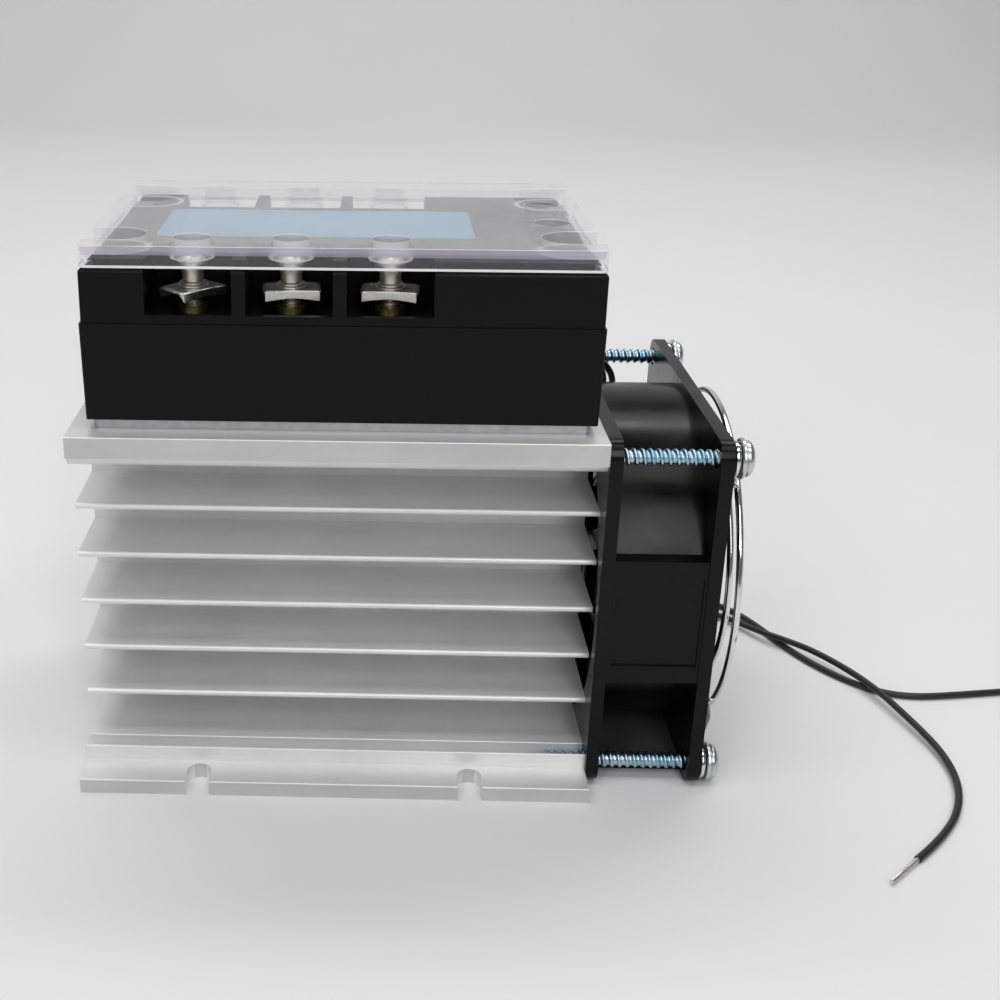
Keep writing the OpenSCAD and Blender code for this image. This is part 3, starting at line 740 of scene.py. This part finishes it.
def make_terminals():
    """All eight clamps with their screws, the outputs first."""
    for n, turn in enumerate(CLAMP_TURN, 1):
        kind, k = ("output", n) if n <= OUTPUTS else ("control", n - OUTPUTS)
        low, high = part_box(f"{kind}_screw_{k}")
        clamp_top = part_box(f"{kind}_clamp_{k}")[1].z
        base = Vector(((low.x + high.x) / 2, (low.y + high.y) / 2, clamp_top - CLAMP_T * MM))
        sizes = TERMINALS[kind]
        clamp_at, screw_at = Local(base, turn=turn), Local(base, turn=17.0 * n)
        make_clamp(f"clamp_{n}", f"{kind}_clamp_{k}", clamp_at, *sizes["clamp"])
        make_terminal_screw(f"screw_{n}", f"{kind}_screw_{k}", screw_at, *sizes["screw"])


def make_mounting_screws():
    """The four pan head screws that hold the relay to the heat sink."""
    head_r, head_h = 4.0, 2.8
    shank_r, root_r, pitch = 2.0, 1.6, 0.7
    low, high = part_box("relay_mounting_screws")
    bm = bmesh.new()
    for x in (low.x + head_r * MM, high.x - head_r * MM):
        for y in (low.y + head_r * MM, high.y - head_r * MM):
            at = Local(Vector((x, y, high.z)), turn=31)
            screw_head(bm, at, head_r, -head_h, head_h, 2.4, 0.55, head_h / 2)
            thread(bm, at, shank_r, root_r, pitch, (low.z - high.z) / MM, 0.1 - head_h, 24, 8, 0.05)
    place(finish_piece("mounting_screws", bm, "head", 38), "relay_mounting_screws")


# ---------------------------------------------------------------- heat sink

# Beyond this distance from the middle line a face belongs to the outer long sides
SIDE_Y = 38.5


def make_heat_sink():
    """The extrusion with its mill edges softened along its length, and painted shade on its long sides, which
    take a darker copy of the aluminium.
    """
    bm = cad_copy("heat_sink")
    bm.normal_update()
    # faces of the long outer sides get the darker copy of the aluminium, which is painted shade
    for face in bm.faces:
        outer = abs(face.calc_center_median().y) > SIDE_Y * MM
        face.material_index = 1 if outer and abs(face.normal.y) > 0.9 else 0
    round_edges(bm, 0.22, 3, lambda p, d, n: abs(d.x) > 0.99 and n > 2, 0)
    place(finish_piece("extrusion", bm, "aluminium", 40, True, ("aluminium_painted_shade",)), "heat_sink")


# ---------------------------------------------------------------- fan

# The floor plate inside lies this far below the fan's axis and is this wide each way
PLATE_DROP = 34
PLATE_HALF = 33
# Beyond this distance from the axis an edge belongs to the rim of a flange
FAN_RIM = 38.9
# Outline of the washer under a screw's head, as radius and height
SCREW_FLANGE = ((1.5, 0.05), (4.05, 0.05), (4.25, 0.3), (4.25, 0.75), (3.9, 1.05), (3.2, 1.2), (1.5, 1.2))


def make_fan_frame():
    """Fan moulding, its edges softened; the floor plate inside has a duller face."""

    def on_plate(face):
        at = face.calc_center_median() / MM
        return face.normal.z > 0.9 and at.z < FAN_Z - PLATE_DROP and abs(at.y) < PLATE_HALF

    def on_rim(middle, direction, length):
        outside = max(abs(middle.y), abs(middle.z - FAN_Z)) > FAN_RIM
        return length > 0.15 and abs(direction.x) < 0.2 and outside

    bm = cad_copy("fan_frame")
    bm.normal_update()
    for face in bm.faces:
        face.material_index = 1 if on_plate(face) else 0
    round_edges(bm, 0.3, 2, on_rim)
    place(finish_piece("fan_moulding", bm, "fan", 40, True, ("fan_inside",)), "fan_frame")


def make_fan_screws():
    """Long self-tapping screws with a domed washer head, all in one piece."""
    low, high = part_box("fan_screws")
    shank, heads = bmesh.new(), bmesh.new()
    head_base = FAN_X1 + GUARD_D
    flange_top = SCREW_FLANGE[-1][1]
    tip, head_top = low.x / MM - head_base, high.x / MM - head_base
    for y in (-SCREW_Y, SCREW_Y):
        for z in (FAN_Z - SCREW_Y, FAN_Z + SCREW_Y):
            at = Local(mm(head_base, y, z), up="X", turn=20 + y + z)
            thread(shank, at, 1.8, 1.36, 1.7, tip, 0.1, 28, 14, 0.1, point=2.5)
            lathe(heads, at, SCREW_FLANGE, 56, False)
            screw_head(heads, at, 3.75, flange_top - 0.05, head_top - flange_top, 2.5, 0.5, 1.2)
    place(finish_piece("long_screws", shank, "zinc", 38), "fan_screws")
    head_piece = finish_piece("long_screw_heads", heads, "head", 38)
    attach(head_piece, "root")


def make_guard():
    """Four wire rings on four bent spokes that end in eyes under the screws."""
    r = GUARD_D / 2
    bm = bmesh.new()
    for radius in RING_RADII:
        wire = [mm(FAN_X1 + RING_Z, x, FAN_Z + y) for x, y in round_ring(radius, 72)]
        tube(bm, wire, r * MM, 14, cyclic=True)
    reach = SCREW_Y * math.sqrt(2)
    eye = 2.3 + r
    for k in range(4):
        at = Local(mm(FAN_X1, 0, FAN_Z), up="X", turn=45 + 90 * k)
        path = [at(x, 0, ROD_Z) for x in (RING_RADII[0] - 1.2, 20, 30, 39)]
        # the spoke bends down to the frame and closes round its screw
        path += [at(41, 0, ROD_Z - 0.1), at(42.6, 0, ROD_Z - 0.8), at(44.4, 0, r + 0.9)]
        path += [at(45.6, 0, r + 0.15), at(reach - eye - 0.4, -0.5, r)]
        for step in range(1, 15):
            t = math.radians(200 + 336 * step / 14)
            path.append(at(reach + eye * math.cos(t), eye * math.sin(t), r))
        tube(bm, catmull(path, 4), r * MM * 0.98, 12)
        # a weld bead where the spoke crosses each ring
        for radius in RING_RADII:
            bead = Matrix.Translation(at(radius, 0, (ROD_Z + RING_Z) / 2))
            bmesh.ops.create_uvsphere(bm, u_segments=12, v_segments=8, radius=0.62 * MM, matrix=bead)
    bmesh.ops.recalc_face_normals(bm, faces=bm.faces)
    place(finish_piece("wire_guard", bm, "chrome", 60), "finger_guard")


# Radii of the hub and of the blades' two ends, then the blades' heights above the hub's back
HUB_R = 19.0
BLADE_ROOT, BLADE_R = 18.7, 36.1
BLADE_BACK, BLADE_FRONT = 1.2, 15.2
BLADES = 7


def make_impeller():
    """Hub with rounded rim and its twisted, cambered blades."""
    low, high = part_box("impeller")
    at = Local(mm(low.x / MM, 0, FAN_Z), up="X")
    tall = (high.x - low.x) / MM
    bm = bmesh.new()
    hub = [(17.6, 0.0), (HUB_R, 0.2), (HUB_R, tall - 1.4), (18.6, tall - 0.5), (17.8, tall), (5.0, tall)]
    hub += [(4.2, tall - 0.5), (0.4, tall - 0.5)]
    lathe(bm, at, hub, 72, False)
    lathe(bm, at, [(17.6, 0.0), (17.6, tall - 1.4), (0.4, tall - 1.4)], 72, False)
    steps = 8
    for k in range(BLADES):
        rings = []
        for i in range(steps + 1):
            t = i / steps
            radius = BLADE_ROOT + (BLADE_R - BLADE_ROOT) * t
            sweep = 360 * k / BLADES + 14 * t * t
            half = (21 + 3 * t) * (HUB_R / radius) ** 0.55
            top, bottom = [], []
            for j in range(steps + 1):
                s = j / steps
                angle = math.radians(sweep - half + 2 * half * s)
                camber = 1.1 * math.sin(math.pi * s)
                height = BLADE_FRONT - (BLADE_FRONT - BLADE_BACK) * s + camber
                thick = 0.35 + 0.5 * math.sin(math.pi * (0.15 + 0.7 * s))
                x, y = radius * math.cos(angle), radius * math.sin(angle)
                top.append(bm.verts.new(at(x, y, min(height + thick, BLADE_FRONT + 0.1))))
                bottom.append(bm.verts.new(at(x, y, max(height - thick, BLADE_BACK - 0.1))))
            rings.append(top + bottom[::-1])
        skin(bm, rings)
    bmesh.ops.recalc_face_normals(bm, faces=bm.faces)
    place(finish_piece("fan_wheel", bm, "impeller", 40), "impeller")


# ---------------------------------------------------------------- leads

LEAD_D = 1.6
# Each route as in the CAD source, in millimetres, from the fan's duct to the end of the insulation
ROUTE_A = [
    (43.7, 16.5, 75.1), (43.8, 17.3, 76.7), (44.2, 18, 78), (45.3, 19, 78.9), (46.9, 20.5, 78.8),
    (48.6, 22.8, 77), (50.3, 25.8, 74.1), (51.5, 29.8, 70.1), (52.2, 34.8, 65.1), (52.5, 39.2, 59),
    (52.5, 41.6, 52.2), (52.5, 42.6, 44.6), (52.4, 42.8, 36), (52.6, 42.9, 27), (53.4, 43.2, 18.4),
    (55.2, 44, 10.8), (58.4, 45.6, 5), (63.4, 47.8, 1.8), (69.8, 50, 0.8), (77, 51.4, 0.8),
    (83.8, 50.6, 0.8), (89.2, 47.4, 0.8), (93, 42.6, 0.8), (95.7, 37.4, 0.8), (98.1, 31.6, 0.8),
    (100.7, 25, 0.8), (103.9, 18.4, 0.8), (107.5, 12.6, 0.8), (111.8, 7.3, 0.8), (116.6, 3.2, 0.8),
    (121.4, 1, 0.8), (126.8, 0.3, 0.8), (133.2, 0.9, 0.8), (140.3, 2, 0.8), (147.5, 3.2, 0.8),
    (155.4, 4.6, 0.8), (163.4, 6.4, 0.8), (171.4, 8.8, 0.8),
]
ROUTE_B = [
    (43.7, 18.1, 74.3), (43.8, 18.9, 75.8), (44.2, 19.7, 76.9), (45.3, 21, 77.5), (46.9, 23.2, 76.8),
    (48.2, 26, 74.5), (49.2, 29.6, 71), (49.7, 33.2, 67), (49.9, 37, 62.4), (49.9, 40, 57.4),
    (49.8, 41.9, 50.5), (49.8, 42.7, 42.8), (49.8, 43, 34), (50.2, 43.1, 25), (51.2, 43.2, 16.4),
    (53.4, 43.4, 9.2), (57.2, 44, 4.4), (62.8, 45, 1.8), (69.6, 46.2, 1), (76.4, 46.4, 0.9),
    (82.2, 44.6, 1), (87.2, 41.2, 1.2), (91, 36.9, 1.5), (94, 32.4, 2), (96.9, 28.4, 2.5),
    (100.8, 24.6, 2.7), (105.7, 19.6, 2.7), (110.2, 12.9, 2.7), (114, 5.4, 2.7), (116.9, -2.4, 2.6),
    (119, -10.3, 2.4), (120.9, -18.1, 2.1), (122.3, -25.8, 1.7), (122.3, -33.8, 1.3), (120.5, -41.8, 1),
    (117, -49.2, 0.8), (112.5, -55.4, 0.8), (107.8, -60.6, 0.8), (103.6, -64.7, 0.8),
]
# Length of the bare end and radius of a strand
TIP_L = 10.8
STRAND_R = 0.2


def make_tip(name, end, direction, node):
    """Tinned wire end: six strands twisted round a middle one, drawn together at the tip."""
    bm = bmesh.new()
    side = direction.orthogonal().normalized()
    other = direction.cross(side)
    steps, turns, spread = 24, 1.6, 0.34 * MM
    for strand in range(7):
        line = []
        for k in range(steps + 1):
            t = k / steps
            angle = 2 * math.pi * (strand / 6 + turns * t)
            reach = 0 if strand == 6 else spread * (1 - 0.25 * t)
            where = end + direction * (TIP_L * MM * t)
            line.append(where + (side * math.cos(angle) + other * math.sin(angle)) * reach)
        tube(bm, line, STRAND_R * MM, 8)
    return place(finish_piece(name, bm, "tin"), node)


def make_lead(letter, route):
    """One insulated lead with its tinned end."""
    line = catmull([mm(*p) for p in route], 4)
    bm = bmesh.new()
    tube(bm, line, LEAD_D / 2 * MM, 14)
    lead = place(finish_piece(f"lead_{letter}", bm, "lead"), f"fan_lead_{letter}")
    direction = (mm(*route[-1]) - mm(*route[-2])).normalized()
    tip = make_tip(f"wire_end_{letter}", line[-1], direction, f"lead_tip_{letter}")


# ---------------------------------------------------------------- stage

# The floor runs flat to FLOOR_BACK metres behind the object and curves up from there
FLOOR_FRONT, FLOOR_BACK, FLOOR_SIDE, WALL_TOP = -1.6, 1.0, 2.2, 2.2
FLOOR_BEND = 0.5
LIT_POINT_Z = 0.07
# Panels of light that face the object: elevation in degrees from the front, distance,
# size, power and step to the side
PANELS = {
    "front_light": (34, 1.1, (0.2, 0.68), 2.9, 0.2),
    "left_light": (34, 1.1, (0.4, 0.5), 2.2, -0.5),
    "top_light": (76, 0.95, (1.5, 0.3), 3.9, 0.0),
    "rim_light": (114, 0.95, (1.3, 0.12), 3.6, 0.0),
}


def make_floor():
    """Pale floor that curves up into a backdrop."""
    profile = [(FLOOR_FRONT, 0.0), (FLOOR_BACK, 0.0)]
    steps = 12
    for k in range(1, steps + 1):
        a = math.pi / 2 * k / steps
        profile.append((FLOOR_BACK + FLOOR_BEND * math.sin(a), FLOOR_BEND * (1 - math.cos(a))))
    profile.append((FLOOR_BACK + FLOOR_BEND, WALL_TOP))
    bm = bmesh.new()
    rows = [[bm.verts.new((x, y, z)) for x in (-FLOOR_SIDE, FLOOR_SIDE)] for y, z in profile]
    for a, b in zip(rows, rows[1:]):
        bm.faces.new((a[0], a[1], b[1], b[0]))
    s = Shader("floor", (0.8, 0.8, 0.8), 0.6)
    s.set("Specular IOR Level", 0.2)
    s.vary_colour(s.noise(3, 2), (0.79, 0.79, 0.788), (0.81, 0.81, 0.808))
    MAT["floor"] = s.material
    finish_piece("floor", bm, "floor", 60)


def add_panel(name, at, target, size, power):
    """A rectangular area light at one point that faces another."""
    data = bpy.data.lights.new(name, "AREA")
    data.shape = "RECTANGLE"
    data.size, data.size_y = size
    data.energy = power
    light = bpy.data.objects.new(name, data)
    bpy.context.scene.collection.objects.link(light)
    light.location = at
    light.rotation_euler = (Vector(target) - Vector(at)).to_track_quat("-Z", "Y").to_euler()


def make_lights():
    """Dim white surroundings, the panels round the object and one that lights the backdrop."""
    bpy.context.scene.view_settings.view_transform = "Standard"
    world = bpy.data.worlds.new("world")
    bpy.context.scene.world = world
    world.use_nodes = True
    background = world.node_tree.nodes["Background"]
    background.inputs["Color"].default_value = (1.0, 1.0, 1.0, 1)
    background.inputs["Strength"].default_value = 0.15
    for name, (elevation, distance, size, power, side) in PANELS.items():
        e = math.radians(elevation)
        at = (side, -distance * math.cos(e), LIT_POINT_Z + distance * math.sin(e))
        add_panel(name, at, (side * 0.3, 0, LIT_POINT_Z), size, power)
    add_panel("back_light", (0, 0.7, 1.1), (0, 1.2, 0.42), (1.5, 0.5), 5.0)


# ---------------------------------------------------------------- the object

make_camera()
make_materials()
dress_nodes()
make_heat_sink()
make_housing()
make_cover()
make_lens()
make_terminals()
make_mounting_screws()
make_fan_frame()
make_impeller()
make_guard()
make_fan_screws()
make_lead("a", ROUTE_A)
make_lead("b", ROUTE_B)
make_floor()
make_lights()
